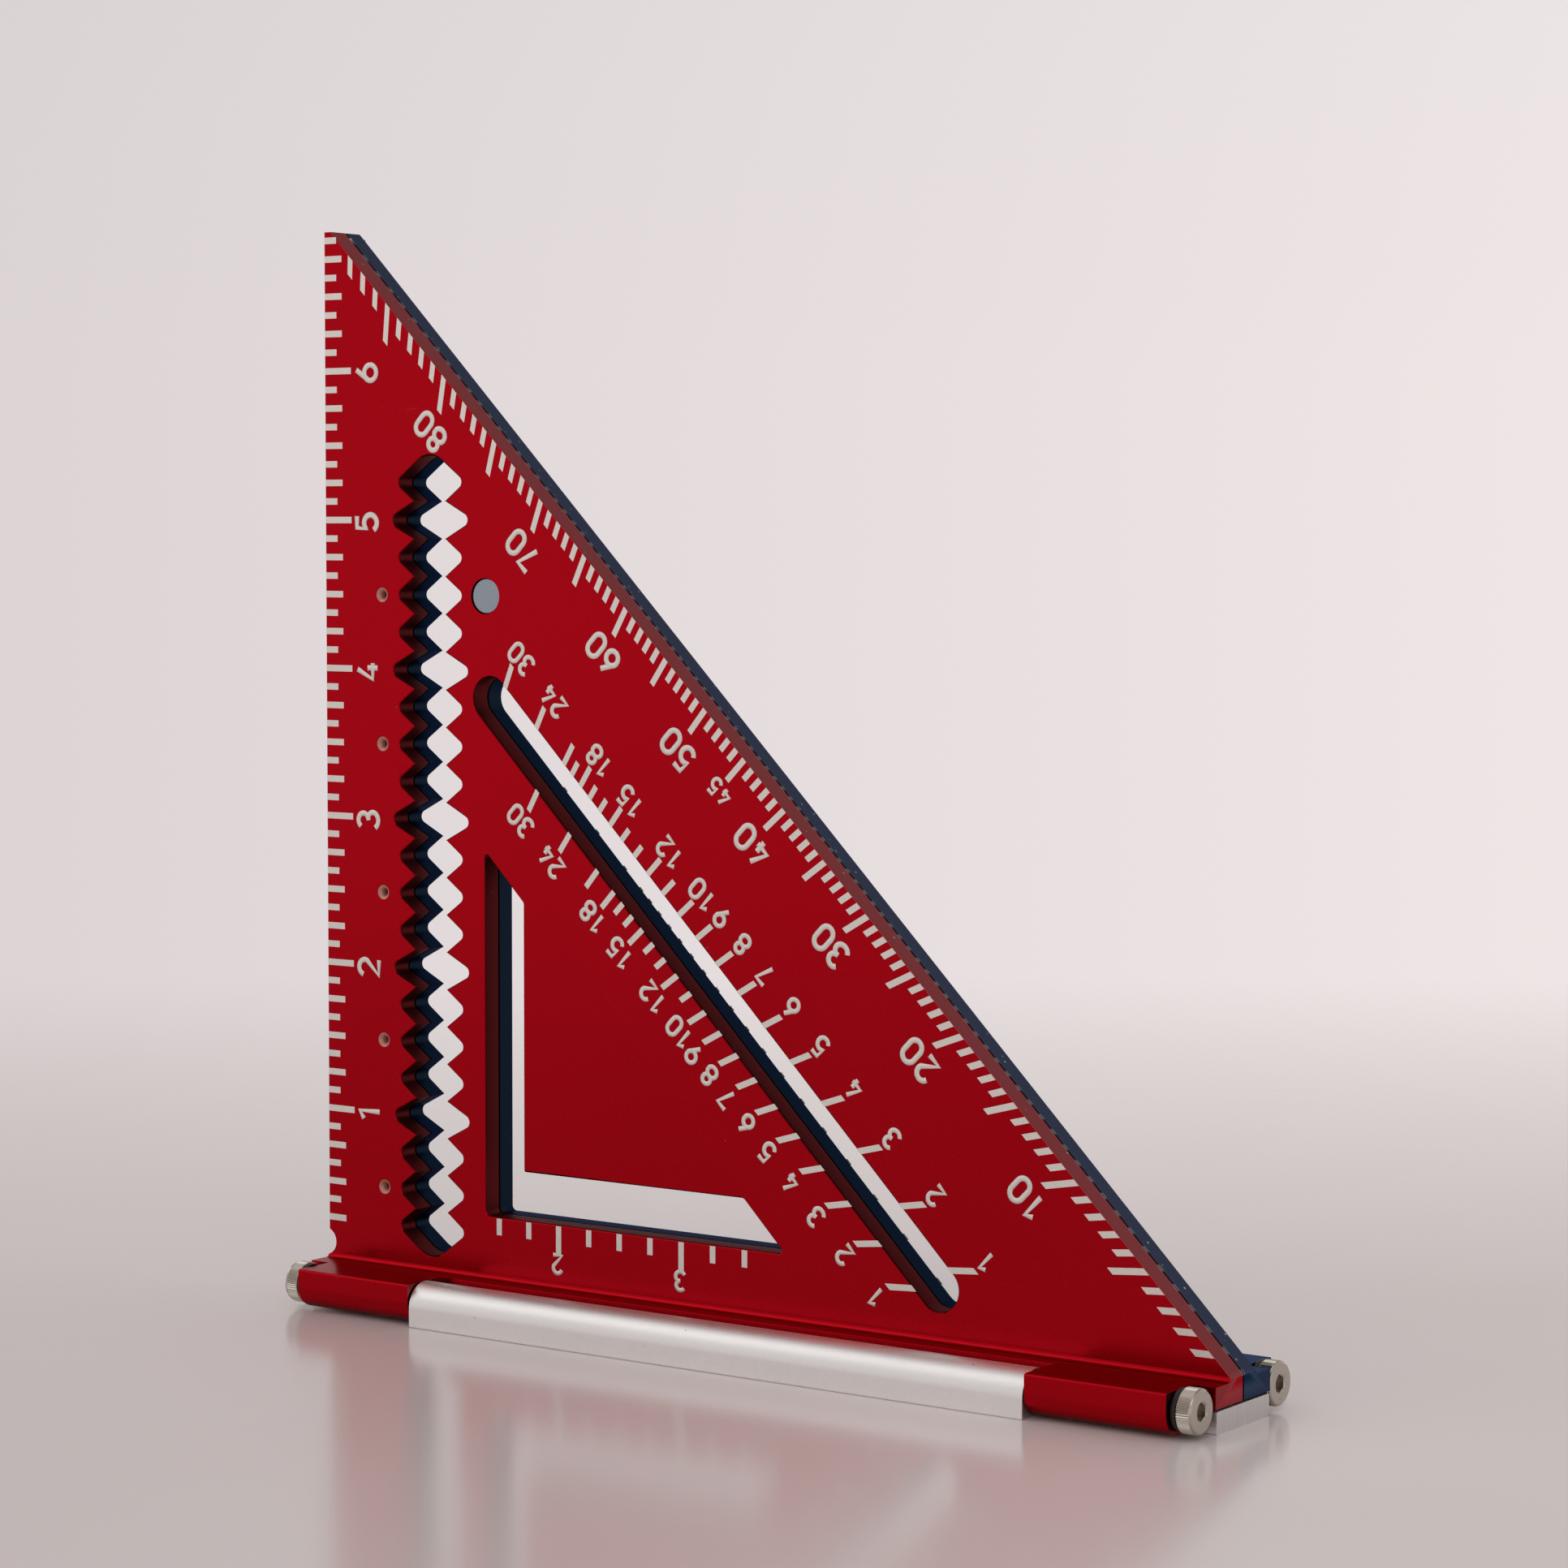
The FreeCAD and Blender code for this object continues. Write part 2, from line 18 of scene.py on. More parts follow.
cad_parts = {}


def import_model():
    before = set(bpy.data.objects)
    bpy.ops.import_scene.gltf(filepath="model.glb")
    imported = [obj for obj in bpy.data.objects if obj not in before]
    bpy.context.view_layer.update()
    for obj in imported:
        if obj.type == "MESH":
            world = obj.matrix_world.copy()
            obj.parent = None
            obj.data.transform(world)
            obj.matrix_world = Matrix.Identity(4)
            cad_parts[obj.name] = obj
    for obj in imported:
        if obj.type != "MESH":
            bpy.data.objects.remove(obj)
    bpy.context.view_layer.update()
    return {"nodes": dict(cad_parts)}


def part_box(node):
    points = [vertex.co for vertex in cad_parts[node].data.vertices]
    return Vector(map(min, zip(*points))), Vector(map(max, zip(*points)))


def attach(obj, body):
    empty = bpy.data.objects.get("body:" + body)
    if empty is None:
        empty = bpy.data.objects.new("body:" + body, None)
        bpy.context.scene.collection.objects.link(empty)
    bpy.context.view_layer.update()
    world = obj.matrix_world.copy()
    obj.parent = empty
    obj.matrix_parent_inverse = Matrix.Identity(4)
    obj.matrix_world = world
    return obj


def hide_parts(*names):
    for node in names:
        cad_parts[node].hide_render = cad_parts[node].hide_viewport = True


MM = 0.001
INCH = 25.4 * MM
LOG = logging.getLogger("speed_square")

Colour = tuple[float, float, float, float]
Place = tuple[float, float, float]
Socket = bpy.types.NodeSocket
Edges = list[bmesh.types.BMEdge]


# ---- shader building
class Wiring:
    """A node tree that is filled one node at a time."""

    def __init__(self, tree: bpy.types.NodeTree) -> None:
        """Start on an empty tree.

        Args:
            tree: The tree to fill.
        """
        self.tree = tree
        tree.nodes.clear()

    def node(self, kind: str, **inputs: object) -> bpy.types.Node:
        """Add a node and fill its inputs.

        Args:
            kind: The node's class name without its ShaderNode or NodeGroup prefix.
            **inputs: Settings of the node, or inputs by name with spaces as
                underscores; an output socket is linked and anything else is a value.

        Returns:
            The new node.
        """
        prefix = "" if kind.startswith("NodeGroup") else "ShaderNode"
        made = self.tree.nodes.new(prefix + kind)
        for key, value in inputs.items():
            if hasattr(made, key) and not key[0].isupper():
                setattr(made, key, value)
                continue
            place = int(key[2:]) if key.startswith("In") and key[2:].isdigit() else key
            socket = made.inputs[place.replace("_", " ") if isinstance(place, str) else place]
            if isinstance(value, Socket):
                self.tree.links.new(value, socket)
            else:
                socket.default_value = value
        return made

    def maths(self, operation: str, *values: object) -> Socket:
        """Work an operation on numbers or sockets."""
        inputs = {f"In{i}": value for i, value in enumerate(values)}
        return self.node("Math", operation=operation, **inputs).outputs[0]

    def ramp(self, value: Socket, low: float, high: float,
             to_low: float = 0.0, to_high: float = 1.0) -> Socket:
        """Map a value's range from low to high onto another, clamped."""
        made = self.node("MapRange", Value=value, From_Min=low, From_Max=high,
                         To_Min=to_low, To_Max=to_high)
        return made.outputs["Result"]

    def blend(self, factor: object, first: object, second: object,
              mode: str = "MIX") -> Socket:
        """Mix two colours, each a socket or four numbers."""
        made = self.node("Mix", data_type="RGBA", blend_type=mode, In0=factor,
                         In6=first, In7=second)
        return made.outputs[2]

    def toned(self, tint: object, grain: bpy.types.Node) -> Socket:
        """Vary a colour, a socket or four numbers, by the tone of a grain group's node."""
        tones = {f"In{i}": grain.outputs["Tone"] for i in range(3)}
        return self.blend(1.0, tint, self.node("CombineColor", **tones).outputs[0], "MULTIPLY")


def open_group(name: str, inputs: dict[str, float], outputs: tuple[str, ...]
               ) -> tuple[Wiring, bpy.types.Node]:
    """Start a shader node group that reads a vector and some numbers.

    Args:
        name: The group's name.
        inputs: Its number inputs with their usual values.
        outputs: Its number outputs.

    Returns:
        The group's wiring and its input node.
    """
    group = bpy.data.node_groups.new(name, "ShaderNodeTree")
    face = group.interface
    face.new_socket("Vector", in_out="INPUT", socket_type="NodeSocketVector")
    for label, usual in inputs.items():
        face.new_socket(label, in_out="INPUT", socket_type="NodeSocketFloat").default_value = usual
    for label in outputs:
        face.new_socket(label, in_out="OUTPUT", socket_type="NodeSocketFloat")
    wires = Wiring(group)
    return wires, wires.node("NodeGroupInput")


def grain_group() -> bpy.types.NodeTree:
    """Build the fine, even grain of a blasted or anodised metal skin.

    Returns:
        The group, with a Tone around 1 and a Height.
    """
    wires, given = open_group("skin_grain", {"Scale": 4000.0, "Depth": 0.1, "Cloud": 0.05},
                              ("Tone", "Height"))
    fine = wires.node("TexNoise", Vector=given.outputs["Vector"], Scale=given.outputs["Scale"],
                      Detail=3.0, Roughness=0.6).outputs[0]
    cloud = wires.node("TexNoise", Vector=given.outputs["Vector"], Scale=28.0,
                       Detail=2.0, Roughness=0.5).outputs[0]
    fine_part = wires.maths("MULTIPLY", wires.maths("SUBTRACT", fine, 0.5), given.outputs["Depth"])
    cloud_part = wires.maths("MULTIPLY", wires.maths("SUBTRACT", cloud, 0.5),
                             given.outputs["Cloud"])
    tone = wires.maths("ADD", wires.maths("ADD", fine_part, cloud_part), 1.0)
    wires.node("NodeGroupOutput", Tone=tone, Height=fine)
    return wires.tree


def speck_group() -> bpy.types.NodeTree:
    """Build scattered small round specks of dust or bare metal.

    Returns:
        The group, with a Mask that is 1 on a speck.
    """
    wires, given = open_group("specks", {"Scale": 300.0, "Size": 0.12, "Share": 0.2}, ("Mask",))
    wobble = wires.node("TexNoise", Vector=given.outputs["Vector"],
                        Scale=wires.maths("MULTIPLY", given.outputs["Scale"], 6.0)).outputs[0]
    cells = wires.node("TexVoronoi", Vector=given.outputs["Vector"],
                       Scale=given.outputs["Scale"])
    reach = wires.maths("MULTIPLY", given.outputs["Size"], wires.ramp(wobble, 0.3, 0.7, 0.5, 1.5))
    near = wires.maths("LESS_THAN", cells.outputs["Distance"], reach)
    lot = wires.node("SeparateColor", Color=cells.outputs["Color"]).outputs[0]
    chosen = wires.maths("LESS_THAN", lot, given.outputs["Share"])
    wires.node("NodeGroupOutput", Mask=wires.maths("MULTIPLY", near, chosen))
    return wires.tree


def hairline_group() -> bpy.types.NodeTree:
    """Build sparse fine scratches that run mostly one way.

    Returns:
        The group, with a Mask that is 1 in a scratch.
    """
    wires, given = open_group("hairlines", {"Scale": 30.0, "Share": 0.1}, ("Mask",))
    warp = wires.node("TexNoise", Vector=given.outputs["Vector"], Scale=9.0).outputs["Color"]
    bent = wires.node("VectorMath", operation="MULTIPLY_ADD", In0=warp,
                      In1=(0.012, 0.012, 0.012), In2=given.outputs["Vector"]).outputs[0]
    turned = wires.node("Mapping", Vector=bent, Rotation=(0.0, 0.62, 0.0),
                        Scale=(1.0, 1.0, 26.0)).outputs[0]
    lines = wires.node("TexNoise", Vector=turned, Scale=given.outputs["Scale"],
                       Detail=1.0).outputs[0]
    thin = wires.maths("COMPARE", lines, 0.5, 0.004)
    patch = wires.node("TexNoise", Vector=given.outputs["Vector"], Scale=55.0).outputs[0]
    shown = wires.maths("GREATER_THAN", patch,
                        wires.maths("SUBTRACT", 1.0, given.outputs["Share"]))
    wires.node("NodeGroupOutput", Mask=wires.maths("MULTIPLY", thin, shown))
    return wires.tree


@dataclass
class Effects:
    """The shader groups that several finishes share."""

    grain: bpy.types.NodeTree = field(default_factory=grain_group)
    specks: bpy.types.NodeTree = field(default_factory=speck_group)
    hairlines: bpy.types.NodeTree = field(default_factory=hairline_group)


def colour(red: float, green: float, blue: float) -> Colour:
    """Give a linear colour its alpha of 1."""
    return (red, green, blue, 1.0)


def start_material(name: str) -> tuple[bpy.types.Material, Wiring]:
    """Make an empty node material.

    Args:
        name: The material's name.

    Returns:
        The material and its wiring.
    """
    material = bpy.data.materials.new(name)
    material.use_nodes = True
    return material, Wiring(material.node_tree)


@dataclass(frozen=True)
class AnodisedFinish:
    """Dyed anodised aluminium, with a worn long edge and painted shade on its cut walls."""

    name: str
    dye: Colour
    edge_dye: Colour
    # Painted shade for the cut walls of the openings, darker than the dye.
    wall_dye: Colour
    grazing_tint: Colour
    edge_nicks: float
    long_sum: float
    pivot: tuple[float, float]
    roughness: float = 0.24
    wall_roughness: float = 0.5
    foot_height: float = 8.2 * MM
    seam_spot: float = math.radians(0.14)
    bare: Colour = (0.70, 0.70, 0.68, 1.0)
    scratched: Colour = (0.5, 0.4, 0.4, 1.0)
    dusty: Colour = (0.55, 0.5, 0.48, 1.0)

    def build(self, effects: Effects) -> bpy.types.Material:
        """Wire the finish.

        Args:
            effects: The shared shader groups.

        Returns:
            The material.
        """
        material, wires = start_material(self.name)
        seat = wires.node("TexCoord")
        place = seat.outputs["Object"]
        parts = wires.node("SeparateXYZ", Vector=place).outputs
        facing = wires.node("SeparateXYZ", Vector=seat.outputs["Normal"]).outputs
        grain = wires.node("Group", node_tree=effects.grain, Vector=place, Scale=2600.0,
                           Depth=0.30, Cloud=0.06)
        dust = wires.node("Group", node_tree=effects.specks, Vector=place, Scale=260.0,
                          Size=0.035, Share=0.08).outputs["Mask"]
        scratches = wires.node("Group", node_tree=effects.hairlines, Vector=place, Scale=34.0,
                               Share=0.30).outputs["Mask"]
        edge = wires.ramp(wires.maths("ADD", parts["X"], parts["Z"]),
                          self.long_sum - 0.35 * MM, self.long_sum - 0.15 * MM)
        wall, machined = self.cut_faces(wires, parts, facing, edge)
        # The cut walls take a darker colour: painted shade, standing in for the shade inside the
        # slots and window.
        dye_and_painted_shade = wires.blend(wall, self.dye, self.wall_dye)
        dye_and_painted_shade = wires.toned(wires.blend(machined, dye_and_painted_shade, self.edge_dye), grain)
        dye_and_painted_shade = wires.blend(wires.maths("MULTIPLY", scratches, 0.025), dye_and_painted_shade, self.scratched)
        dye_and_painted_shade = wires.blend(wires.maths("MULTIPLY", dust, 0.30), dye_and_painted_shade, self.dusty)
        dye_and_painted_shade = wires.blend(self.wear(wires, effects, place, parts, edge), dye_and_painted_shade, self.bare)
        rough = wires.ramp(grain.outputs["Height"], 0.3, 0.7, self.roughness - 0.04,
                           self.roughness + 0.05)
        rough = wires.maths("ADD", rough, wires.maths(
            "MULTIPLY", wall, self.wall_roughness - self.roughness))
        rough = wires.maths("ADD", rough, wires.maths("MULTIPLY", dust, 0.3))
        bump = wires.node("Bump", Strength=0.10, Distance=0.03 * MM,
                          Height=grain.outputs["Height"])
        shader = wires.node("BsdfPrincipled", Base_Color=dye_and_painted_shade, Metallic=1.0, Roughness=rough,
                            Specular_Tint=self.grazing_tint, Normal=bump.outputs[0])
        wires.node("OutputMaterial", Surface=shader.outputs[0])
        return material

    def cut_faces(self, wires: Wiring, parts: bpy.types.NodeOutputs,
                  facing: bpy.types.NodeOutputs, edge: Socket) -> tuple[Socket, Socket]:
        """Find the faces that are cut square to the sheet.

        Args:
            wires: The material's wiring.
            parts: The place's X, Y and Z.
            facing: The normal's X, Y and Z.
            edge: The mask of the long edge.

        Returns:
            The mask of the openings' walls, which take the painted shade, and the mask of the long
            edge and foot ends.
        """
        above = self.foot_height + 0.2 * MM
        ends = wires.ramp(wires.maths("ABSOLUTE", facing["X"]), 0.85, 0.95)
        ends = wires.maths("MULTIPLY", ends, wires.ramp(
            parts["Z"], self.foot_height, above, 1.0, 0.0))
        wall = wires.ramp(wires.maths("ABSOLUTE", facing["Y"]), 0.30, 0.60, 1.0, 0.0)
        wall = wires.maths("MULTIPLY", wall, wires.ramp(parts["Z"], self.foot_height, above))
        return wall, wires.maths("MAXIMUM", edge, wires.maths("MULTIPLY", ends, 0.6))

    def wear(self, wires: Wiring, effects: Effects, place: Socket,
             parts: bpy.types.NodeOutputs, edge: Socket) -> Socket:
        """Find the nicks on the long edge and the ends of the degree marks at the seam.

        Args:
            wires: The material's wiring.
            effects: The shared shader groups.
            place: The place in the object's frame.
            parts: The place's X, Y and Z.
            edge: The mask of the long edge.

        Returns:
            How bare the metal is.
        """
        nicks = wires.node("Group", node_tree=effects.specks, Vector=place, Scale=1250.0,
                           Size=0.23, Share=self.edge_nicks).outputs["Mask"]
        lower = wires.ramp(parts["Z"], 0.01, 0.11, 1.0, 0.25)
        nicks = wires.maths("MULTIPLY", wires.maths("MULTIPLY", nicks, edge), lower)
        seam = wires.ramp(wires.maths("ABSOLUTE", parts["Y"]), 0.30 * MM, 0.40 * MM, 1.0, 0.0)
        angle = wires.maths("ARCTAN2", wires.maths("SUBTRACT", parts["Z"], self.pivot[1]),
                            wires.maths("SUBTRACT", parts["X"], self.pivot[0]))
        beat = wires.maths("PINGPONG", angle, math.radians(0.5))
        spots = wires.ramp(beat, self.seam_spot, self.seam_spot * 1.4, 1.0, 0.0)
        spots = wires.maths("MULTIPLY", wires.maths("MULTIPLY", spots, seam), edge)
        return wires.maths("MAXIMUM", nicks, wires.maths("MULTIPLY", spots, 0.5))


@dataclass(frozen=True)
class BareMetalFinish:
    """Uncoloured metal: blasted, sawn or plated."""

    name: str
    tint: Colour
    roughness: float
    grain_scale: float
    grain_depth: float
    cloud: float
    bump: float
    streaks: Place | None = None
    metallic: float = 0.95

    def build(self, effects: Effects) -> bpy.types.Material:
        """Wire the finish.

        Args:
            effects: The shared shader groups.

        Returns:
            The material.
        """
        material, wires = start_material(self.name)
        place = wires.node("TexCoord").outputs["Object"]
        grained = place
        if self.streaks:
            grained = wires.node("Mapping", Vector=place, Scale=self.streaks).outputs[0]
        grain = wires.node("Group", node_tree=effects.grain, Vector=grained,
                           Scale=self.grain_scale, Depth=self.grain_depth, Cloud=self.cloud)
        scratches = wires.node("Group", node_tree=effects.hairlines, Vector=place, Scale=40.0,
                               Share=0.45).outputs["Mask"]
        specks = wires.node("Group", node_tree=effects.specks, Vector=place, Scale=260.0,
                            Size=0.06, Share=0.15).outputs["Mask"]
        metal = wires.toned(self.tint, grain)
        metal = wires.blend(wires.maths("MULTIPLY", scratches, 0.15), metal,
                            colour(0.9, 0.9, 0.9))
        metal = wires.blend(wires.maths("MULTIPLY", specks, 0.3), metal,
                            colour(0.25, 0.24, 0.23))
        rough = wires.ramp(grain.outputs["Height"], 0.3, 0.7, self.roughness - 0.06,
                           self.roughness + 0.06)
        bump = wires.node("Bump", Strength=self.bump, Distance=0.04 * MM,
                          Height=grain.outputs["Height"])
        shader = wires.node("BsdfPrincipled", Base_Color=metal, Metallic=self.metallic,
                            Roughness=rough, Normal=bump.outputs[0])
        wires.node("OutputMaterial", Surface=shader.outputs[0])
        return material


@dataclass(frozen=True)
class NylonFinish:
    """Black moulded nylon."""

    name: str = "black_nylon"
    tint: Colour = (0.012, 0.012, 0.013, 1.0)

    def build(self, effects: Effects) -> bpy.types.Material:
        """Wire the finish.

        Args:
            effects: The shared shader groups.

        Returns:
            The material.
        """
        material, wires = start_material(self.name)
        place = wires.node("TexCoord").outputs["Object"]
        grain = wires.node("Group", node_tree=effects.grain, Vector=place, Scale=1800.0,
                           Depth=0.5, Cloud=0.2)
        black = wires.toned(self.tint, grain)
        rough = wires.ramp(grain.outputs["Height"], 0.3, 0.7, 0.45, 0.6)
        bump = wires.node("Bump", Strength=0.2, Distance=0.04 * MM,
                          Height=grain.outputs["Height"])
        shader = wires.node("BsdfPrincipled", Base_Color=black, Roughness=rough,
                            Normal=bump.outputs[0])
        wires.node("OutputMaterial", Surface=shader.outputs[0])
        return material


@dataclass(frozen=True)
class SweepFinish:
    """A pale glossy table top, with painted shade on one side, that fades into the studio's light
    at its rim.
    """

    name: str = "table_top"
    clear_from: float = 0.50
    clear_to: float = 0.90
    far_way: Place = (-0.576, 0.817, 0.0)
    side_way: Place = (0.817, 0.576, 0.0)
    far_from: float = 0.05
    far_to: float = 0.55

    def build(self) -> bpy.types.Material:
        """Wire the finish.

        Returns:
            The material.
        """
        material, wires = start_material(self.name)
        place = wires.node("TexCoord").outputs["Object"]
        mottle = wires.node("TexNoise", Vector=place, Scale=14.0, Detail=2.0).outputs[0]
        pale = wires.blend(wires.ramp(mottle, 0.3, 0.7, 0.0, 1.0), colour(0.90, 0.820, 0.805),
                           colour(0.92, 0.845, 0.830))
        # The table darkens on the side opposite side_way: painted shade on an evenly pale table.
        painted_shade_across = wires.node("VectorMath", operation="DOT_PRODUCT", In0=place,
                           In1=self.side_way).outputs["Value"]
        pale = wires.blend(wires.ramp(painted_shade_across, -0.16, 0.04, 0.52, 0.0), pale,
                           colour(0.62, 0.56, 0.56))
        away = wires.node("VectorMath", operation="LENGTH", In0=place).outputs["Value"]
        behind = wires.node("VectorMath", operation="DOT_PRODUCT", In0=place,
                            In1=self.far_way).outputs["Value"]
        solid = wires.maths("MULTIPLY",
                            wires.ramp(away, self.clear_from, self.clear_to, 1.0, 0.0),
                            wires.ramp(behind, self.far_from, self.far_to, 1.0, 0.0))
        shader = wires.node("BsdfPrincipled", Base_Color=pale, Roughness=0.17, Alpha=solid)
        wires.node("OutputMaterial", Surface=shader.outputs[0])
        return material


# ---- mesh helpers
def to_object(mesh: bpy.types.Mesh, name: str, materials: list[bpy.types.Material]
              ) -> bpy.types.Object:
    """Put a mesh in the scene.

    Args:
        mesh: The finished mesh, in its place.
        name: The piece's name.
        materials: Its material slots.

    Returns:
        The new object.
    """
    mesh.name = name
    mesh.materials.clear()
    for material in materials:
        mesh.materials.append(material)
    piece = bpy.data.objects.new(name, mesh)
    bpy.context.scene.collection.objects.link(piece)
    return piece


def smooth_by_angle(mesh: bpy.types.Mesh, degrees: float) -> None:
    """Shade a mesh smooth apart from edges that turn by more than some degrees."""
    mesh.polygons.foreach_set("use_smooth", [True] * len(mesh.polygons))
    mesh.set_sharp_from_angle(angle=math.radians(degrees))


def weigh_normals(piece: bpy.types.Object) -> None:
    """Keep a piece's flat faces flat beside its rounded edges."""
    weighted = piece.modifiers.new("flat_faces", "WEIGHTED_NORMAL")
    weighted.keep_sharp = True
    weighted.weight = 100


def finished_copy(node: bpy.types.Object, edge: float) -> bpy.types.Mesh:
    """Copy a CAD node as clean faces with softened corners.

    Args:
        node: The CAD node.
        edge: The width of the rounding on square corners, in metres.

    Returns:
        The new mesh.
    """
    shape = bmesh.new()
    shape.from_mesh(node.data)
    bmesh.ops.remove_doubles(shape, verts=shape.verts, dist=0.002 * MM)
    bmesh.ops.dissolve_limit(shape, angle_limit=math.radians(0.6), verts=shape.verts,
                             edges=shape.edges)
    square = [e for e in shape.edges
              if e.is_manifold and e.calc_face_angle(0.0) > math.radians(50)]
    bmesh.ops.bevel(shape, geom=square, offset=edge, offset_type="OFFSET", affect="EDGES",
                    segments=2, profile=0.5, material=-1, clamp_overlap=True)
    mesh = bpy.data.meshes.new(node.name + "_shape")
    shape.to_mesh(mesh)
    shape.free()
    smooth_by_angle(mesh, 40)
    return mesh


# ---- graduations
@dataclass(frozen=True)
class Arc:
    """A stretch of an ellipse in a figure, with its angles in degrees."""

    centre: tuple[float, float]
    radii: tuple[float, float]
    start: float
    stop: float

    def points(self) -> list[Vector]:
        """Step along the arc.

        Returns:
            Its points, about 18 degrees apart.
        """
        steps = max(2, round(abs(self.stop - self.start) / 18))
        turns = [math.radians(self.start + (self.stop - self.start) * i / steps)
                 for i in range(steps + 1)]
        return [Vector((self.centre[0] + self.radii[0] * math.cos(a),
                        self.centre[1] + self.radii[1] * math.sin(a))) for a in turns]


Stroke = tuple[object, ...]

# Pen strokes of each figure in a cell 0.6 wide and 1 high: corners are points, and
# round stretches are arcs.
FIGURES: dict[str, tuple[Stroke, ...]] = {
    "0": ((Arc((0.3, 0.7), (0.3, 0.3), 0, 180), Arc((0.3, 0.3), (0.3, 0.3), 180, 360),
           (0.6, 0.7)),),
    "1": (((0.12, 0.80), (0.42, 1.0), (0.42, 0.0)),),
    "2": ((Arc((0.3, 0.71), (0.29, 0.29), 165, -25), (0.0, 0.0), (0.6, 0.0)),),
    "3": ((Arc((0.28, 0.745), (0.27, 0.255), 150, -90),),
          (Arc((0.28, 0.27), (0.31, 0.27), 80, -155),)),
    "4": (((0.38, 1.0), (0.0, 0.24), (0.62, 0.24)), ((0.44, 0.5), (0.44, 0.0))),
    "5": (((0.54, 1.0), (0.1, 1.0), (0.05, 0.53), Arc((0.28, 0.32), (0.31, 0.32), 125, -150)),),
    "6": ((Arc((0.3, 0.3), (0.3, 0.3), 0, 360),), ((0.42, 1.0), (0.04, 0.42))),
    "7": (((0.0, 1.0), (0.6, 1.0), (0.2, 0.0)),),
    "8": ((Arc((0.3, 0.76), (0.25, 0.24), 0, 360),), (Arc((0.3, 0.27), (0.3, 0.27), 0, 360),)),
    "9": ((Arc((0.3, 0.7), (0.3, 0.3), 0, 360),), ((0.18, 0.0), (0.56, 0.58))),
}
FIGURE_WIDTH = 0.6
FIGURE_GAP = 0.26


def stroke_points(stroke: Stroke) -> list[Vector]:
    """List the points of one pen stroke.

    Args:
        stroke: Its corners and arcs in order.

    Returns:
        The points in the figure's cell.
    """
    points: list[Vector] = []
    for item in stroke:
        points += item.points() if isinstance(item, Arc) else [Vector(item)]
    return points


class Side(Enum):
    """Which leaf: the sign is its side of the seam plane."""

    FRONT = -1
    REAR = 1


@dataclass(frozen=True)
class Lettering:
    """How tall a scale's figures are and how wide their pen is."""

    height: float
    stroke: float


@dataclass(frozen=True)
class Triangle:
    """Where a leaf's web stands, in metres."""

    left: float
    base: float
    leg: float
    outer: float
    inner: float

    @property
    def long_sum(self) -> float:
        """X plus Z anywhere on the long edge."""
        return self.left + self.base + self.leg


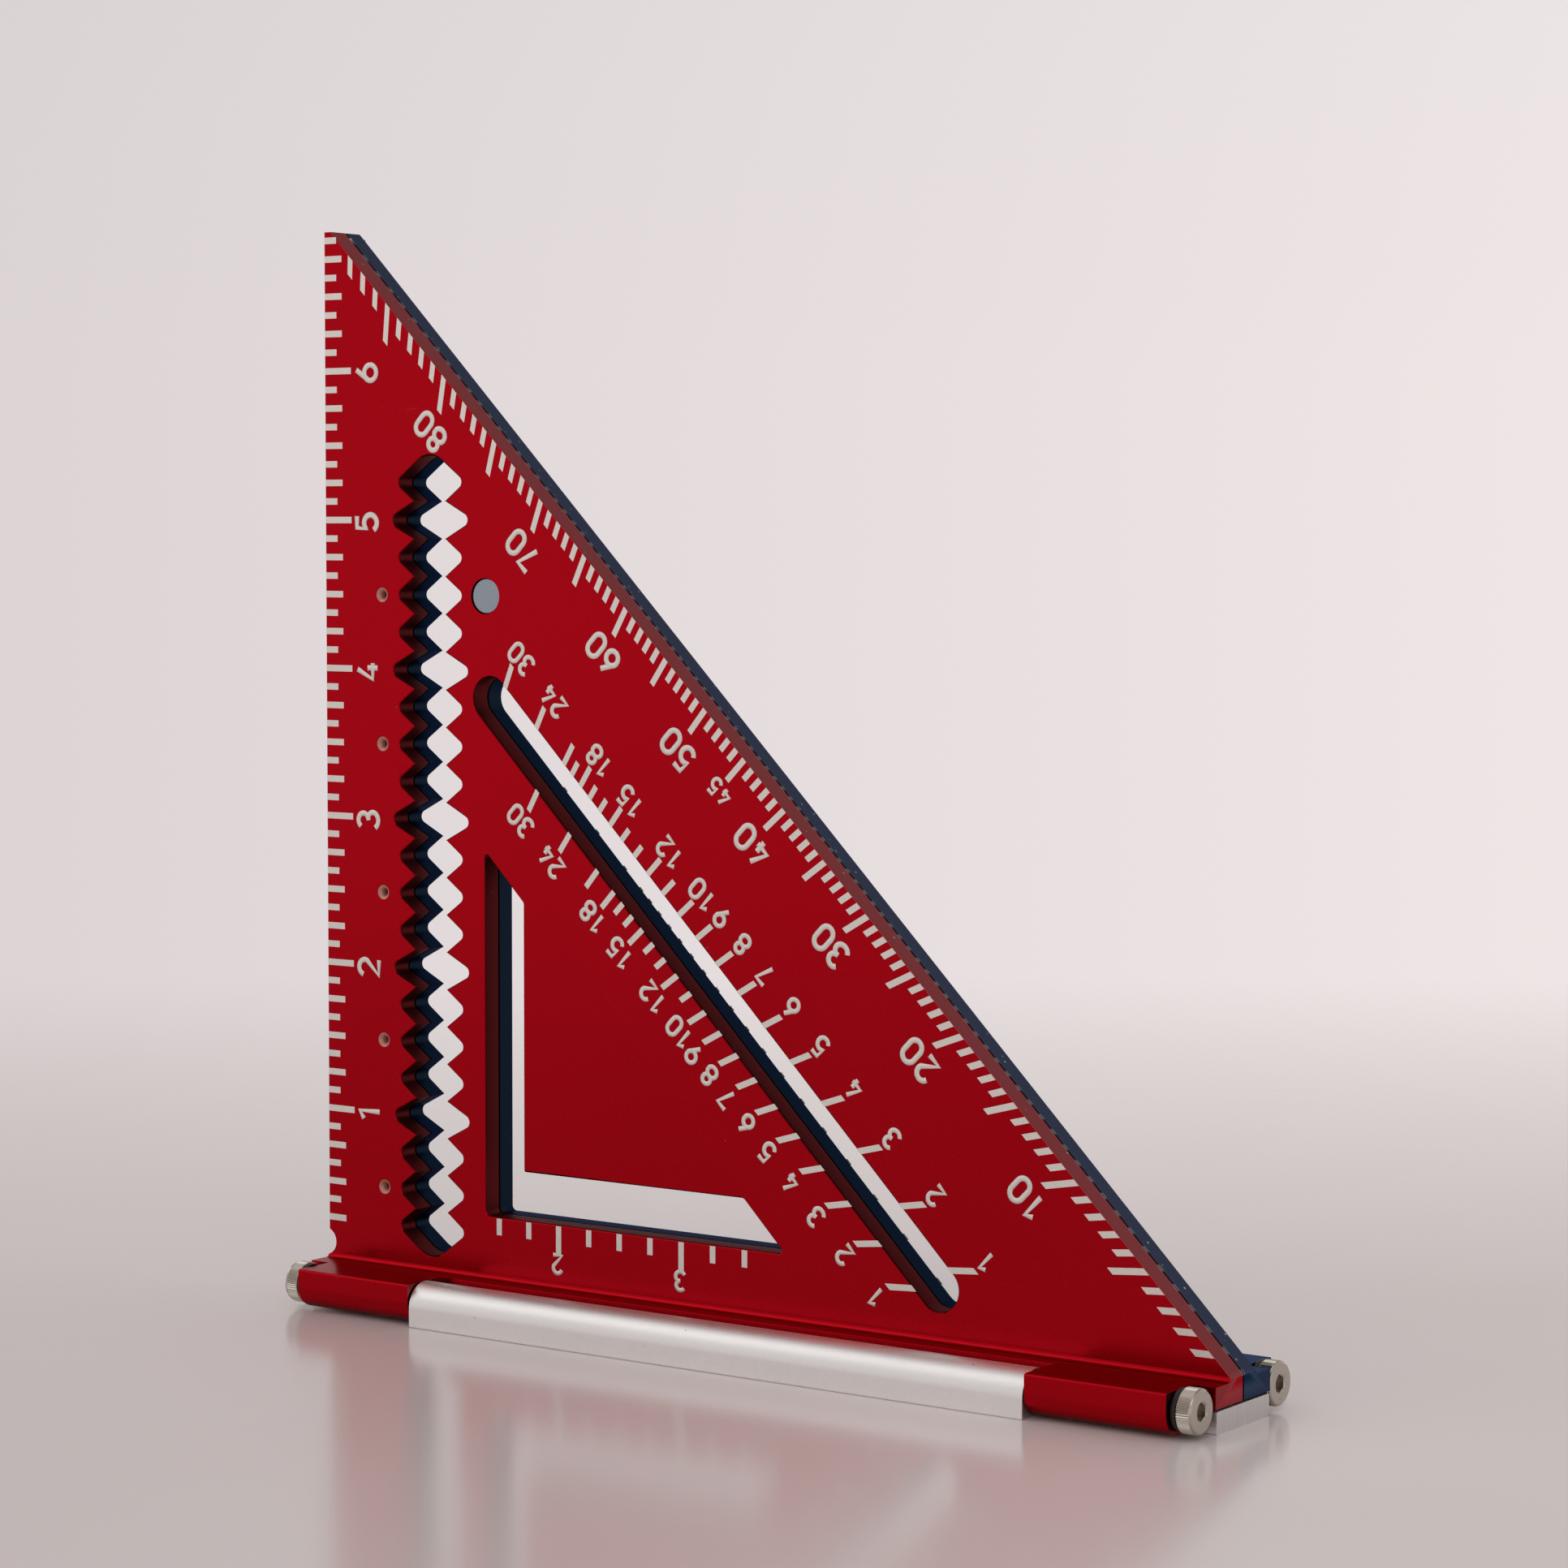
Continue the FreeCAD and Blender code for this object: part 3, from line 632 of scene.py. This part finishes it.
@dataclass
class MarkedFace:
    """The graduations on one face of a leaf.

    Positions are measured from the pivot corner: across along the fence and up.
    """

    triangle: Triangle
    depth: float               # Y of the face
    outwards: int              # sign of Y that the face looks along
    clear: float = 0.0         # how far graduations keep from the rafter slot
    proud: float = 0.012 * MM
    shape: bmesh.types.BMesh = field(default_factory=bmesh.new)
    pen: bpy.types.Curve = field(default_factory=lambda: bpy.data.curves.new("pen", "CURVE"))

    def __post_init__(self) -> None:
        """Set the pen up as a round nib."""
        self.pen.dimensions = "3D"
        self.pen.bevel_depth = 1.0
        self.pen.bevel_resolution = 1
        self.pen.use_fill_caps = True

    @property
    def reading(self) -> int:
        """1 where across grows to a reader's right and -1 where it grows to the left."""
        return -self.outwards

    def point(self, across: float, up: float) -> Vector:
        """Turn a point of the layout into a place in the frame."""
        return Vector((self.triangle.left + across, self.depth, self.triangle.base + up))

    def bar(self, start: Vector, end: Vector, edge: Vector, width: float) -> None:
        """Lay one straight graduation whose ends run along a given direction.

        Args:
            start: Where its middle line starts, as (across, up).
            end: Where its middle line ends.
            edge: The direction of its two ends.
            width: Its width square to its length.
        """
        along = end - start
        slant = abs(along.normalized().cross(edge.normalized()))
        side = edge.normalized() * (width / slant)
        middle = self.point(*((start + end) / 2))
        matrix = Matrix.Identity(4)
        matrix.col[0] = (along.x, 0.0, along.y, 0.0)
        matrix.col[1] = (side.x, 0.0, side.y, 0.0)
        matrix.col[2] = (0.0, self.proud * 2, 0.0, 0.0)
        matrix.col[3] = (middle.x, middle.y, middle.z, 1.0)
        bmesh.ops.create_cube(self.shape, size=1.0, matrix=matrix)

    def label(self, text: str, centre: Vector, size: Lettering, top_angle: float) -> None:
        """Write figures around a centre.

        Args:
            text: The figures.
            centre: Their middle, as (across, up).
            size: Their height, outside the pen's width, and the pen's width.
            top_angle: Which way their tops point, in degrees from the fence towards up.
        """
        top = Vector((math.cos(math.radians(top_angle)), math.sin(math.radians(top_angle))))
        right = Vector((top.y, -top.x)) * self.reading
        scale = size.height - size.stroke
        step = (FIGURE_WIDTH + FIGURE_GAP) * scale + size.stroke * 0.25
        for place, figure in enumerate(text):
            shift = (place - (len(text) - 1) / 2) * step - FIGURE_WIDTH / 2 * scale
            corner = centre + right * shift - top * (scale / 2)
            for line in FIGURES[figure]:
                points = [corner + (right * p.x + top * p.y) * scale for p in stroke_points(line)]
                self.draw(points, size.stroke / 2)

    def draw(self, points: list[Vector], radius: float) -> None:
        """Draw one pen stroke.

        Args:
            points: Its route, as (across, up).
            radius: Half the pen's width.
        """
        spline = self.pen.splines.new("POLY")
        spline.points.add(len(points) - 1)
        for target, source in zip(spline.points, points):
            target.co = (source.x, 0.0, source.y, 1.0)
            target.radius = radius

    def finish(self, name: str, metal: bpy.types.Material) -> bpy.types.Object:
        """Join the graduations and figures into one piece.

        Args:
            name: The piece's name.
            metal: The inlay's material.

        Returns:
            The piece.
        """
        writer = bpy.data.objects.new("writer", self.pen)
        figures = bpy.data.meshes.new_from_object(writer)
        thin = Matrix.Diagonal((1.0, 0.001, 1.0, 1.0))
        thin[1][1] = self.proud / (0.4 * MM)
        figures.transform(Matrix.Translation(self.point(0.0, 0.0)) @ thin)
        self.shape.from_mesh(figures)
        bpy.data.objects.remove(writer)
        bpy.data.meshes.remove(figures)
        mesh = bpy.data.meshes.new(name)
        bmesh.ops.recalc_face_normals(self.shape, faces=self.shape.faces)
        self.shape.to_mesh(mesh)
        self.shape.free()
        return to_object(mesh, name, [metal])


@dataclass(frozen=True)
class Graduations:
    """The layout of the inch scales, the protractor and the rafter tables."""

    inch_lengths: Place = (6.0 * MM, 4.0 * MM, 2.8 * MM)
    inch_tick: float = 1.1 * MM
    inch_margin: float = 0.2 * MM
    inch_place: tuple[float, float] = (9.45 * MM, -0.42 * MM)
    inch_figures: Lettering = Lettering(5.5 * MM, 1.05 * MM)
    degree_tick: float = 1.05 * MM
    degree_margin: float = 0.3 * MM
    degree_short: float = 3.6 * MM
    degree_long: float = 7.2 * MM
    degree_drop: float = 2.6 * MM
    degree_lean: float = 0.0128 * MM
    degree_figures: Lettering = Lettering(5.15 * MM, 1.05 * MM)
    half_right_drop: float = 1.65 * MM
    half_right_figures: Lettering = Lettering(3.5 * MM, 0.76 * MM)
    slot_outer: float = 138.75 * MM
    slot_inner: float = 128.65 * MM
    rafter_tick: float = 1.0 * MM
    rafter_lengths: Place = (5.3 * MM, 4.6 * MM, 3.4 * MM)
    rafter_figures: Lettering = Lettering(4.15 * MM, 0.87 * MM)
    common_drop: float = 1.75 * MM
    hip_drop: float = 2.0 * MM
    pair_draw: float = 0.25 * MM
    lean: float = 0.24 * MM
    pair_lean: float = 0.44 * MM
    labelled: tuple[int, ...] = (1, 2, 3, 4, 5, 6, 7, 8, 9, 10, 12, 15, 18, 24, 30)
    window_top: float = 9.7 * MM
    window_lengths: tuple[float, float] = (4.8 * MM, 2.8 * MM)
    window_place: tuple[float, float] = (-0.23 * MM, 3.3 * MM)
    window_figures: Lettering = Lettering(3.9 * MM, 0.84 * MM)
    toward_pivot: float = 225.0
    toward_edge: float = 180.0
    down: float = 270.0

    def lay(self, face: MarkedFace) -> None:
        """Put every scale on a face.

        Args:
            face: The face to mark.
        """
        self.inch_scale(face)
        self.protractor(face)
        self.rafter_table(face, 12, self.slot_outer, 1, self.common_drop)
        self.rafter_table(face, 17, self.slot_inner, -1, self.hip_drop)
        self.window_rule(face)

    def inch_scale(self, face: MarkedFace) -> None:
        """Mark eighths of an inch up the leaf's short edge.

        Args:
            face: The face to mark.
        """
        whole, quarter, part = self.inch_lengths
        for eighth in range(2, 56):
            up = eighth * INCH / 8
            length = whole if eighth % 8 == 0 else quarter if eighth % 2 == 0 else part
            face.bar(Vector((self.inch_margin, up)), Vector((length, up)), Vector((0.0, 1.0)),
                     self.inch_tick)
            if eighth % 8 == 0:
                face.label(str(eighth // 8), Vector((0.0, up)) + Vector(self.inch_place),
                           self.inch_figures, self.toward_edge)

    def protractor(self, face: MarkedFace) -> None:
        """Mark degrees along the long edge, seen from the pivot corner.

        Args:
            face: The face to mark.
        """
        leg = face.triangle.leg
        slope = Vector((1.0, -1.0))
        square = Vector((1.0, 1.0))
        for degree in range(1, 89):
            ray = Vector((math.cos(math.radians(degree)), math.sin(math.radians(degree))))
            ray /= ray.x + ray.y
            tip = ray * (leg - (self.degree_short if degree % 5 else self.degree_long))
            face.bar(ray * (leg - self.degree_margin), tip, slope, self.degree_tick)
            lean = slope * (self.degree_lean * (degree - 30))
            if degree % 10 == 0:
                face.label(str(degree), tip - square * self.degree_drop + lean,
                           self.degree_figures, self.toward_pivot)
            if degree == 45:
                face.label("45", tip - square * self.half_right_drop + lean,
                           self.half_right_figures, self.toward_pivot)

    def rafter_table(self, face: MarkedFace, run: int, start: float, away: int,
                     drop: float) -> None:
        """Mark rises for one run beside the rafter slot.

        Args:
            face: The face to mark.
            run: The run that each rise is measured over, 12 or 17.
            start: Across plus up at the slot's edge.
            away: 1 on the long edge's side of the slot and -1 on the pivot's side.
            drop: How far beyond a graduation the middle of its figures stands.
        """
        slope = Vector((1.0, -1.0))
        square = Vector((1.0, 1.0))
        long, middle, short = self.rafter_lengths
        for rise in (*range(1, 21), 24, 30):
            if rise == 19 and away < 0:
                continue
            ray = Vector((run, rise)) / (run + rise)
            named = rise in self.labelled or rise == 20
            reach = long if named else middle if rise == 11 and away > 0 else short
            tip = ray * (start + away * reach)
            face.bar(ray * (start + away * face.clear), tip, slope, self.rafter_tick)
            if rise in self.labelled:
                pair = rise > 9
                stand = square * (away * (drop - (self.pair_draw if pair else 0.0)))
                lean = slope * ((self.pair_lean if pair else self.lean) if away > 0 else 0.0)
                face.label(str(rise), tip + stand + lean, self.rafter_figures,
                           self.toward_pivot)

    def window_rule(self, face: MarkedFace) -> None:
        """Mark the short inch rule under the window.

        Args:
            face: The face to mark.
        """
        whole, part = self.window_lengths
        for quarter in range(6, 15):
            across = quarter * INCH / 4
            length = whole if quarter % 4 == 0 else part
            face.bar(Vector((across, self.window_top)),
                     Vector((across, self.window_top - length)), Vector((1.0, 0.0)),
                     self.inch_tick)
            if quarter % 4 == 0:
                face.label(str(quarter // 4), Vector((across, 0.0)) + Vector(self.window_place),
                           self.window_figures, self.down)


# ---- sub-assemblies
@dataclass
class Leaf:
    """One triangular leaf with its graduations and its magnet."""

    side: Side
    triangle: Triangle
    nodes: dict[str, bpy.types.Object]
    skin: bpy.types.Material
    bare: bpy.types.Material
    inlay: bpy.types.Material
    plate: bpy.types.Material
    skin_slot: str
    corner: float = 0.09 * MM
    magnet_corner: float = 0.25 * MM
    inner_clear: float = 0.6 * MM
    marking_reach: float = 1.3 * MM

    @property
    def word(self) -> str:
        """The leaf's name in node names."""
        return self.side.name.lower()

    def build(self) -> None:
        """Make the leaf's pieces and let them ride on its body."""
        body = self.word + "_blade"
        for piece in (self.blade(), *self.marks(), self.magnet()):
            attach(piece, body)
            LOG.info("%s: %d faces", piece.name, len(piece.data.polygons))

    def blade(self) -> bpy.types.Object:
        """Make the blade with its foot and barrels.

        Returns:
            The piece.
        """
        node = self.nodes[self.word + "_leaf"]
        mesh = finished_copy(node, self.corner)
        piece = to_object(mesh, self.word + "_blade_plate", [self.skin, self.bare])
        self.bare_rims(mesh)
        weigh_normals(piece)
        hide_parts(node.name)
        return piece

    def bare_rims(self, mesh: bpy.types.Mesh) -> None:
        """Give the marking holes and their countersinks a worn skin.

        Args:
            mesh: The blade's mesh.
        """
        across = self.triangle.left + INCH / 2
        for face in mesh.polygons:
            up = (face.center.z - self.triangle.base) % INCH - INCH / 2
            near = math.hypot(face.center.x - across, up) < self.marking_reach
            if near and abs(face.normal.y) < 0.95:
                face.material_index = 1

    def marks(self) -> list[bpy.types.Object]:
        """Mark both faces of the blade.

        Returns:
            The two inlay pieces.
        """
        made = []
        for where, depth, outwards in (("outer", self.triangle.outer, self.side.value),
                                       ("inner", self.triangle.inner, -self.side.value)):
            clear = self.inner_clear if where == "inner" else 0.0
            face = MarkedFace(self.triangle, depth * self.side.value, outwards, clear)
            Graduations().lay(face)
            piece = face.finish(f"{self.word}_{where}_graduations", self.inlay)
            made.append(piece)
        return made

    def magnet(self) -> bpy.types.Object:
        """Make the disc magnet with a softened rim.

        Returns:
            The piece.
        """
        node = self.nodes[self.word + "_magnet"]
        piece = to_object(finished_copy(node, self.magnet_corner),
                          self.word + "_magnet_disc", [self.plate])
        weigh_normals(piece)
        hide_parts(node.name)
        return piece


@dataclass
class HingeScrew:
    """A low-head socket screw with a knurled rim, worked out from its CAD node."""

    node: bpy.types.Object
    metal: bpy.types.Material
    head_length: float = 2.8 * MM
    shank_radius: float = 2.0 * MM
    rim: float = 0.38 * MM
    knurl_depth: float = 0.17 * MM
    knurls: int = 56
    socket_corner: float = 1.45 * MM
    socket_mouth: float = 1.6 * MM
    socket_depth: float = 1.6 * MM

    def build(self) -> bpy.types.Object:
        """Make the screw and stand it in its hole.

        Returns:
            The piece.
        """
        low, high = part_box(self.node.name)
        outwards = 1 if low.x + high.x > 0 else -1
        face_x = high.x if outwards > 0 else low.x
        radius = (high.y - low.y) / 2
        shape = bmesh.new()
        self.turn_profile(shape, radius, high.x - low.x)
        self.sink_socket(shape, radius)
        turn = Matrix.Rotation(math.radians(90 * outwards), 4, "Y")
        stand = Matrix.Translation((face_x, (low.y + high.y) / 2, (low.z + high.z) / 2))
        bmesh.ops.transform(shape, matrix=stand @ turn, verts=shape.verts)
        bmesh.ops.remove_doubles(shape, verts=shape.verts, dist=0.001 * MM)
        bmesh.ops.recalc_face_normals(shape, faces=shape.faces)
        mesh = bpy.data.meshes.new(self.node.name)
        shape.to_mesh(mesh)
        shape.free()
        smooth_by_angle(mesh, 24)
        piece = to_object(mesh, self.node.name + "_turned", [self.metal])
        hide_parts(self.node.name)
        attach(piece, "fence_bar")
        return piece

    def ring(self, shape: bmesh.types.BMesh, radius: float, height: float, count: int
             ) -> Edges:
        """Add a ring of edges square to the screw's axis.

        Args:
            shape: The mesh being built.
            radius: The ring's radius.
            height: Its place along the axis, with the head's face at 0.
            count: How many edges it has.

        Returns:
            The ring's edges.
        """
        made = bmesh.ops.create_circle(shape, cap_ends=False, radius=radius, segments=count,
                                       matrix=Matrix.Translation((0.0, 0.0, height)))
        return list({edge for vert in made["verts"] for edge in vert.link_edges})

    def turn_profile(self, shape: bmesh.types.BMesh, radius: float, length: float) -> None:
        """Build the outside, from the rim of the head's face to the shank's end.

        Args:
            shape: The mesh being built.
            radius: The head's radius.
            length: The screw's whole length.
        """
        count = self.knurls * 2
        knurl_start, knurl_end = -self.rim, -self.head_length + self.rim * 0.7
        rings = [
            (radius - self.rim, 0.0, False),
            (radius - self.rim * 0.35, -self.rim * 0.45, False),
            (radius - self.knurl_depth, knurl_start, False),
            (radius, knurl_start - 0.12 * MM, True),
            (radius, knurl_end, True),
            (radius - self.knurl_depth, knurl_end - 0.12 * MM, False),
            (radius - self.rim, -self.head_length, False),
            (self.shank_radius, -self.head_length, False),
            (self.shank_radius, -length + 0.4 * MM, False),
            (self.shank_radius - 0.4 * MM, -length, False),
        ]
        last: Edges = []
        for size, height, toothed in rings:
            edges = self.ring(shape, size, height, count)
            if toothed:
                self.cut_teeth(edges, size)
            if last:
                bmesh.ops.bridge_loops(shape, edges=last + edges)
            last = edges
        bmesh.ops.contextual_create(shape, geom=last)

    def cut_teeth(self, edges: Edges, size: float) -> None:
        """Pull every second point of a ring in.

        Args:
            edges: The ring's edges.
            size: The ring's radius.
        """
        points = {vert for edge in edges for vert in edge.verts}
        for vert in points:
            turn = math.atan2(vert.co.y, vert.co.x) / math.tau * self.knurls * 2
            if round(turn) % 2:
                vert.co.xy *= (size - self.knurl_depth) / size

    def sink_socket(self, shape: bmesh.types.BMesh, radius: float) -> None:
        """Build the head's face and its hexagon socket.

        Args:
            shape: The mesh being built.
            radius: The head's radius.
        """
        rim = self.ring(shape, radius - self.rim, 0.0, self.knurls * 2)
        mouth = self.ring(shape, self.socket_mouth, 0.0, 48)
        bmesh.ops.bridge_loops(shape, edges=rim + mouth)
        upper = self.hexagon(shape, -0.22 * MM)
        bmesh.ops.bridge_loops(shape, edges=mouth + upper)
        lower = self.hexagon(shape, -self.socket_depth)
        bmesh.ops.bridge_loops(shape, edges=upper + lower)
        bmesh.ops.contextual_create(shape, geom=lower)

    def hexagon(self, shape: bmesh.types.BMesh, height: float) -> Edges:
        """Add the socket's six-sided ring, each side in eight edges.

        Args:
            shape: The mesh being built.
            height: Its place along the axis.

        Returns:
            The ring's edges.
        """
        edges = self.ring(shape, self.socket_corner, height, 48)
        for vert in {vert for edge in edges for vert in edge.verts}:
            turn = math.degrees(math.atan2(vert.co.y, vert.co.x)) % 60 - 30
            flat = math.cos(math.radians(30)) / math.cos(math.radians(turn))
            vert.co.xy *= flat
        return edges


@dataclass
class FenceBar:
    """The silver hinge bar, its screws and their washers."""

    nodes: dict[str, bpy.types.Object]
    bar_metal: bpy.types.Material
    sawn_metal: bpy.types.Material
    screw_metal: bpy.types.Material
    nylon: bpy.types.Material
    corner: float = 0.15 * MM
    washer_corner: float = 0.12 * MM

    def build(self) -> None:
        """Make the bar's pieces and let them ride on its body."""
        bar = self.bar()
        LOG.info("%s: %d faces", bar.name, len(bar.data.polygons))
        for name, node in sorted(self.nodes.items()):
            if name.endswith("_screw"):
                piece = HingeScrew(node, self.screw_metal).build()
                LOG.info("%s: %d faces", piece.name, len(piece.data.polygons))
            if name.endswith("_washer"):
                piece = self.washer(node)
                LOG.info("%s: %d faces", piece.name, len(piece.data.polygons))

    def bar(self) -> bpy.types.Object:
        """Make the bar with its sawn ends.

        Returns:
            The piece.
        """
        node = self.nodes["hinge_bar"]
        mesh = finished_copy(node, self.corner)
        piece = to_object(mesh, "fence_bar_body", [self.bar_metal, self.sawn_metal])
        for face in mesh.polygons:
            if abs(face.normal.x) > 0.9:
                face.material_index = 1
        weigh_normals(piece)
        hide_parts(node.name)
        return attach(piece, "fence_bar")

    def washer(self, node: bpy.types.Object) -> bpy.types.Object:
        """Make one washer.

        Args:
            node: Its CAD node.

        Returns:
            The piece.
        """
        piece = to_object(finished_copy(node, self.washer_corner), node.name + "_ring",
                          [self.nylon])
        weigh_normals(piece)
        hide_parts(node.name)
        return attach(piece, "fence_bar")


# ---- studio
@dataclass(frozen=True)
class Studio:
    """The table, the light and the camera."""

    camera_place: Place = (0.37171, -0.52064, 0.13279)
    camera_yaw: float = 35.162
    camera_pitch: float = -3.595
    camera_roll: float = 0.095
    lens: float = 91.69
    sensor: float = 36.0
    floor_glow: Colour = (0.60, 0.54, 0.53, 1.0)
    wall_glow: Colour = (0.79, 0.725, 0.727, 1.0)
    upper_glow: Colour = (0.755, 0.705, 0.715, 1.0)
    paler_way: Place = (0.37, 0.26, 0.0)
    room_level: float = 0.74
    room_tint: Colour = (1.0, 0.945, 0.935, 1.0)
    brighter_way: Place = (-0.06, -0.03, 0.0)
    ceiling_loss: float = 0.32

    def build(self) -> None:
        """Set the studio up."""
        self.lay_table()
        self.light_room()
        self.soft_box("key_box", (-0.70, -0.46, 0.88), (0.0, 0.0, 0.03), 0.7, 1.05)
        self.soft_box("fill_box", (0.9, -0.9, 0.9), (0.0, 0.0, 0.05), 0.9, 1.0)
        self.stand_camera()

    def lay_table(self) -> None:
        """Lay the pale table top under the bar."""
        shape = bmesh.new()
        bmesh.ops.create_circle(shape, cap_ends=True, radius=1.2, segments=96)
        mesh = bpy.data.meshes.new("table_top")
        shape.to_mesh(mesh)
        shape.free()
        table = to_object(mesh, "table_top", [SweepFinish().build()])

    def light_room(self) -> None:
        """Wire an even room light, seen directly as a paler backdrop."""
        world = bpy.data.worlds.new("studio")
        world.use_nodes = True
        wires = Wiring(world.node_tree)
        way = wires.node("TexCoord").outputs["Generated"]
        rise = wires.node("SeparateXYZ", Vector=way).outputs["Z"]
        low = wires.blend(wires.ramp(rise, -0.26, -0.12), self.floor_glow, self.wall_glow)
        air = wires.blend(wires.ramp(rise, 0.04, 0.20), low, self.upper_glow)
        paler = wires.node("VectorMath", operation="DOT_PRODUCT", In0=way,
                           In1=self.paler_way).outputs["Value"]
        seen = wires.node("Background", Color=air, Strength=wires.maths("ADD", paler, 1.0))
        side = wires.node("VectorMath", operation="DOT_PRODUCT", In0=way,
                          In1=self.brighter_way).outputs["Value"]
        lit = wires.maths("ADD", self.room_level, side)
        above = wires.maths("MULTIPLY", wires.maths("MAXIMUM", rise, 0.0), self.ceiling_loss)
        lit = wires.maths("SUBTRACT", lit, above)
        cast = wires.node("Background", Color=self.room_tint, Strength=lit)
        watched = wires.node("LightPath").outputs["Is Camera Ray"]
        world_light = wires.node("MixShader", In0=watched, In1=cast.outputs[0],
                                 In2=seen.outputs[0])
        wires.node("OutputWorld", Surface=world_light.outputs[0])
        bpy.context.scene.world = world
        bpy.context.scene.view_settings.view_transform = "Standard"

    def soft_box(self, name: str, place: Place,
                 target: Place, size: float, power: float) -> None:
        """Hang one square soft box.

        Args:
            name: The light's name.
            place: Where it hangs.
            target: Where it points.
            size: Its width.
            power: Its power in watts.
        """
        data = bpy.data.lights.new(name, "AREA")
        data.shape = "SQUARE"
        data.size = size
        data.energy = power
        box = bpy.data.objects.new(name, data)
        box.location = place
        aim = Vector(target) - Vector(place)
        box.rotation_euler = aim.to_track_quat("-Z", "Y").to_euler()
        bpy.context.scene.collection.objects.link(box)

    def stand_camera(self) -> None:
        """Stand the camera."""
        data = bpy.data.cameras.new("camera")
        data.lens = self.lens
        data.sensor_width = self.sensor
        data.clip_start = 0.01
        camera = bpy.data.objects.new("camera", data)
        camera.rotation_mode = "QUATERNION"
        turn = (Matrix.Rotation(math.radians(self.camera_yaw), 4, "Z")
                @ Matrix.Rotation(math.radians(90 + self.camera_pitch), 4, "X")
                @ Matrix.Rotation(math.radians(self.camera_roll), 4, "Z"))
        camera.matrix_world = Matrix.Translation(self.camera_place) @ turn
        bpy.context.scene.collection.objects.link(camera)
        bpy.context.scene.camera = camera


def measure_triangle(node: str, tip_flat: float) -> Triangle:
    """Read a leaf's place from the frame.

    Args:
        node: The leaf's CAD node.
        tip_flat: The blunt width of its top corner.

    Returns:
        The triangle.
    """
    low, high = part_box(node)
    leg = high.x - low.x
    magnet_low, magnet_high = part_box(node.replace("_leaf", "_magnet"))
    inner = min(abs(low.y), abs(high.y))
    outer = max(abs(magnet_low.y), abs(magnet_high.y)) + 0.30 * MM
    return Triangle(low.x, high.z - (leg - tip_flat), leg, outer, inner)


def main() -> None:
    """Build the tool on its frame, then the studio around it."""
    logging.basicConfig(level=logging.INFO, format="%(name)s: %(message)s")
    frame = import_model()
    nodes = frame["nodes"]
    effects = Effects()
    triangle = measure_triangle("front_leaf", 1.7 * MM)
    pivot = (triangle.left, triangle.base)
    # The third colour of each anodised finish is the painted shade on its cut walls.
    red = AnodisedFinish("red_anodised", colour(0.42, 0.0035, 0.010),
                         colour(0.34, 0.072, 0.080), colour(0.13, 0.014, 0.016),
                         colour(0.64, 0.60, 0.60), 0.010,
                         triangle.long_sum, pivot).build(effects)
    blue = AnodisedFinish("blue_anodised", colour(0.020, 0.042, 0.085),
                          colour(0.076, 0.090, 0.140), colour(0.018, 0.030, 0.050),
                          colour(0.36, 0.40, 0.54), 0.05,
                          triangle.long_sum, pivot).build(effects)
    silver = BareMetalFinish("blasted_aluminium", colour(0.90, 0.89, 0.88), 0.42, 3000.0,
                             0.16, 0.06, 0.30).build(effects)
    sawn = BareMetalFinish("sawn_aluminium", colour(0.70, 0.69, 0.685), 0.34, 900.0, 0.24,
                           0.05, 0.40, streaks=(1.0, 1.0, 0.06)).build(effects)
    nickel = BareMetalFinish("nickel_plate", colour(0.53, 0.49, 0.43), 0.16, 1500.0, 0.08,
                             0.08, 0.05).build(effects)
    rim = BareMetalFinish("marking_rim", colour(0.56, 0.27, 0.22), 0.45, 3000.0, 0.20, 0.10,
                          0.20, metallic=0.5).build(effects)
    magnet = BareMetalFinish("magnet_plate", colour(0.30, 0.345, 0.395), 0.26, 1500.0, 0.10,
                             0.20, 0.05).build(effects)
    inlay = BareMetalFinish("engraved_metal", colour(0.86, 0.84, 0.78), 0.55, 5000.0, 0.30,
                            0.10, 0.20, metallic=0.35).build(effects)
    nylon = NylonFinish().build(effects)
    for side, skin, slot in ((Side.FRONT, red, "red_anodised"),
                             (Side.REAR, blue, "blue_anodised")):
        Leaf(side, triangle, nodes, skin, rim, inlay, magnet, slot).build()
    FenceBar(nodes, silver, sawn, nickel, nylon).build()
    Studio().build()


if __name__ == "__main__":
    main()
